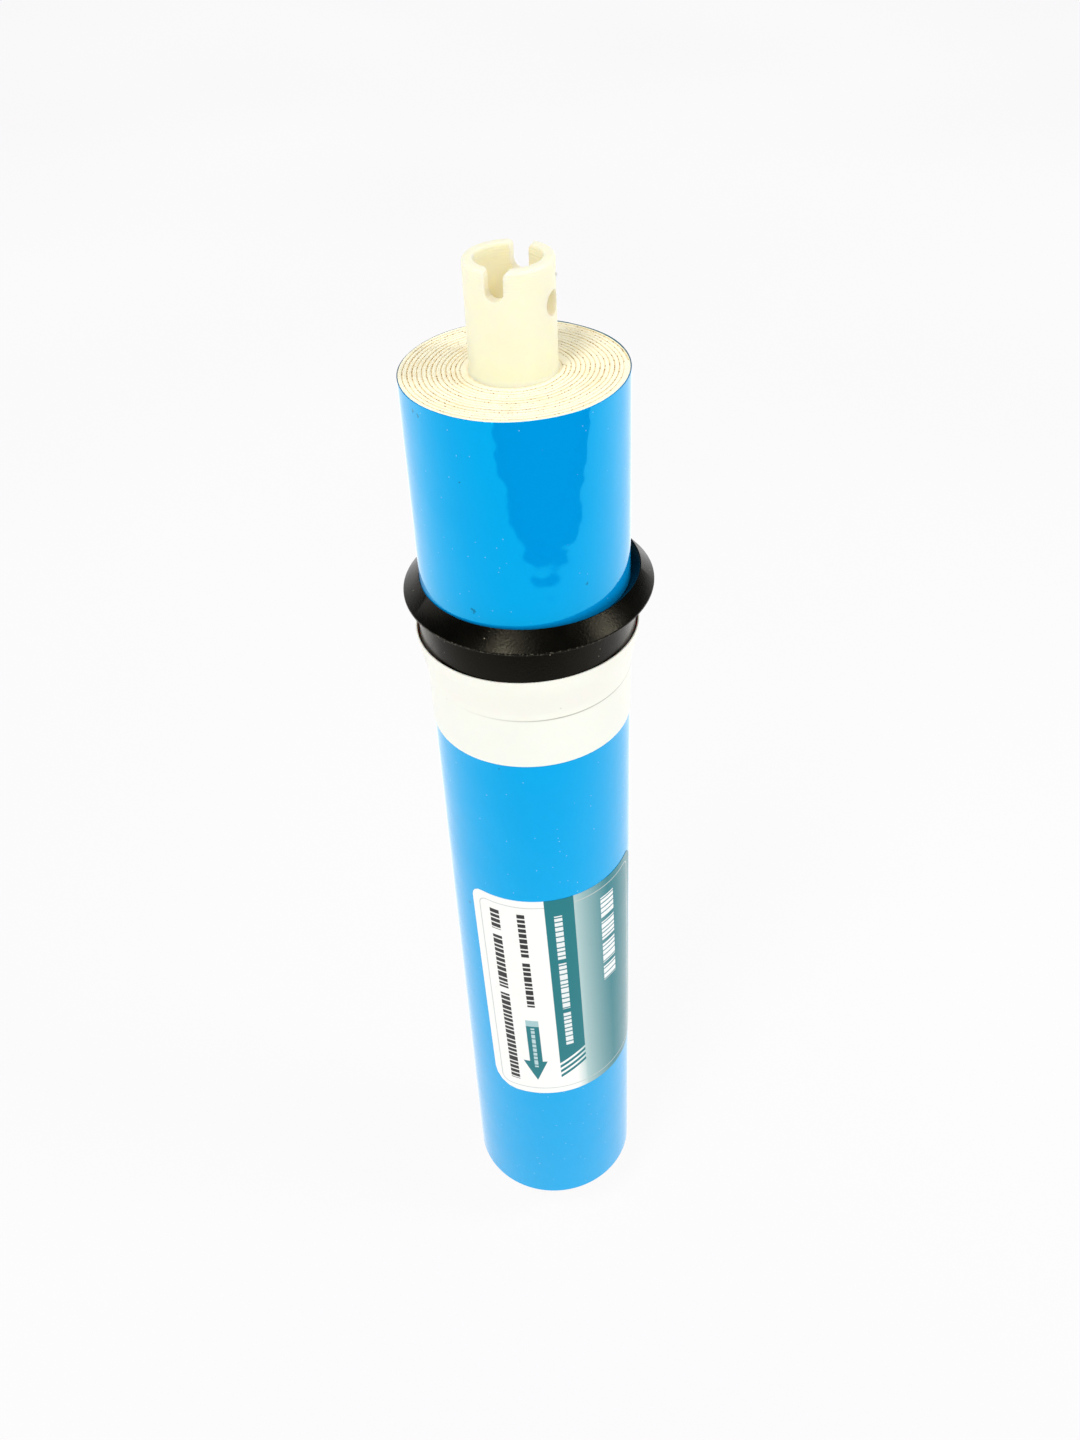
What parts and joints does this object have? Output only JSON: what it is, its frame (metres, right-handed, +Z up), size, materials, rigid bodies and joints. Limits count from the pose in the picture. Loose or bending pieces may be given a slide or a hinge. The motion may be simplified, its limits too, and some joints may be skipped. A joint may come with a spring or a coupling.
{
  "type": "water filter cartridge",
  "caption": "Spiral-wound reverse osmosis membrane cartridge: slotted core tube, wound leaf, blue film wrap, rubber brine seal, white tape and label.",
  "frame": {"origin": "middle of the foot of the tube's spigot, on the surface that the cartridge stands on", "axes": "+Z up along the tube, from the O-ring spigot to the slotted end; -Y is the front, where the label is"},
  "size_m": [0.0546, 0.0546, 0.298],
  "materials": {
    "tube_abs": "moulded cream ABS, satin",
    "o_ring_rubber": "smooth black EPDM",
    "carrier_knit": "stiffened polyester knit, cream",
    "leaf_sheet": "cream polyester-backed sheet, cut edge",
    "wrap_film": "glossy blue film",
    "seal_rubber": "moulded black rubber, semi-gloss",
    "tape_vinyl": "white vinyl tape, satin",
    "label_film": "coated film label, white and teal"
  },
  "bodies": {
    "root": {"permeate_tube": "tube_abs", "o_ring_lower": "o_ring_rubber", "o_ring_upper": "o_ring_rubber", "permeate_carrier": "carrier_knit", "membrane_roll": "leaf_sheet", "outer_wrap": "wrap_film", "brine_seal": "seal_rubber", "seal_tape": "tape_vinyl", "label": "label_film"}
  },
  "joints": []
}
